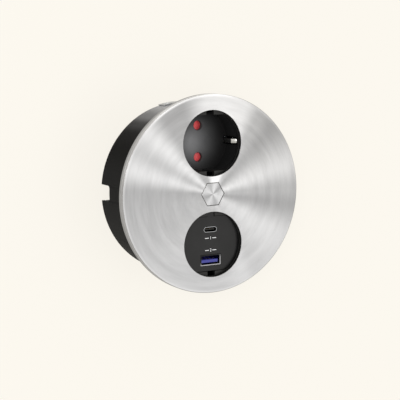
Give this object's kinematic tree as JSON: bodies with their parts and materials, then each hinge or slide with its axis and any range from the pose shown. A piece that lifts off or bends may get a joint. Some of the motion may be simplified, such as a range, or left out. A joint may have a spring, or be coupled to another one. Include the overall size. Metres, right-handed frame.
{
  "type": "worktop socket",
  "caption": "Round flush worktop socket: a turning spun-steel lid with round openings over an earthed mains recess with a red shutter and a USB charger, on a black can with spring clips.",
  "frame": {"origin": "centre of the flange's underside, on the worktop's surface", "axes": "+Z out of the worktop along the lid's axis, +Y from the centre towards the mains recess, +X to the right of a viewer who faces the lid with the mains recess on top"},
  "size_m": [0.118, 0.118, 0.0439],
  "materials": {
    "brushed_steel": "spun brushed",
    "trim_steel": "satin",
    "spring_steel": "bright rolled",
    "zinc_steel": "zinc plated",
    "port_steel": "bright stamped",
    "contact_brass": "stamped",
    "contact_nickel": "nickel plated",
    "black_plastic": "fine matt",
    "satin_black": "satin",
    "housing_plastic": "moulded matt",
    "grey_plastic": "moulded",
    "white_plastic": "moulded",
    "red_plastic": "moulded gloss",
    "blue_plastic": "moulded gloss",
    "board_green": "lacquered",
    "ferrite": "sintered",
    "capacitor_sleeve": "shrunk sleeve",
    "rubber": "foam"
  },
  "bodies": {
    "base": {"trim_ring": "trim_steel", "glide_ring": "white_plastic", "flange_seal": "rubber", "housing": "housing_plastic", "deck": "housing_plastic", "mains_insert": "black_plastic", "shutter_spring": "spring_steel", "contact_base": "grey_plastic", "base_screws": "zinc_steel", "live_contact": "contact_brass", "neutral_contact": "contact_brass", "earth_strap": "contact_nickel", "insert_screws": "zinc_steel", "usb_faceplate": "satin_black", "usb_case": "housing_plastic", "usb_a_shell": "port_steel", "usb_a_tongue": "blue_plastic", "usb_c_shell": "port_steel", "usb_c_tongue": "black_plastic", "usb_port_board": "board_green", "usb_power_board": "board_green", "usb_transformer": "ferrite", "usb_capacitors": "capacitor_sleeve", "board_header": "contact_brass", "terminal_block": "white_plastic", "terminal_screws": "zinc_steel", "block_screws": "zinc_steel", "cable_clamp": "black_plastic", "clamp_screws": "zinc_steel", "back_cover": "housing_plastic", "cover_screws": "zinc_steel", "clip_pad_upper": "spring_steel", "clip_pad_lower": "spring_steel", "clip_rivets": "zinc_steel"},
    "lid": {"lid_plate": "brushed_steel", "lid_carrier": "black_plastic", "hex_spindle": "brushed_steel", "spring_washer": "spring_steel", "retaining_ring": "spring_steel"},
    "shutter": {"shutter": "red_plastic"},
    "clip_upper": {"clip_tongue_upper": "spring_steel"},
    "clip_lower": {"clip_tongue_lower": "spring_steel"}
  },
  "joints": [
    {"name": "lid_turn", "type": "hinge", "parent": "base", "child": "lid", "pos_m": [0, 0, 0.0024], "axis": [0, 0, 1], "range_deg": [0, 90]},
    {"name": "shutter_turn", "type": "hinge", "parent": "base", "child": "shutter", "pos_m": [0, 0.03, -0.0163], "axis": [0, 0, 1], "range_deg": [0, 38], "stiffness_Nm_per_rad": 0.003, "springref_deg": -8.59, "deforming": ["shutter_spring"]},
    {"name": "clip_upper_flex", "type": "hinge", "parent": "base", "child": "clip_upper", "pos_m": [0, 0.0521, -0.0309], "axis": [1, 0, 0], "range_deg": [0, 4], "stiffness_Nm_per_rad": 2},
    {"name": "clip_lower_flex", "type": "hinge", "parent": "base", "child": "clip_lower", "pos_m": [0, -0.0521, -0.0309], "axis": [-1, 0, 0], "range_deg": [0, 4], "stiffness_Nm_per_rad": 2}
  ]
}
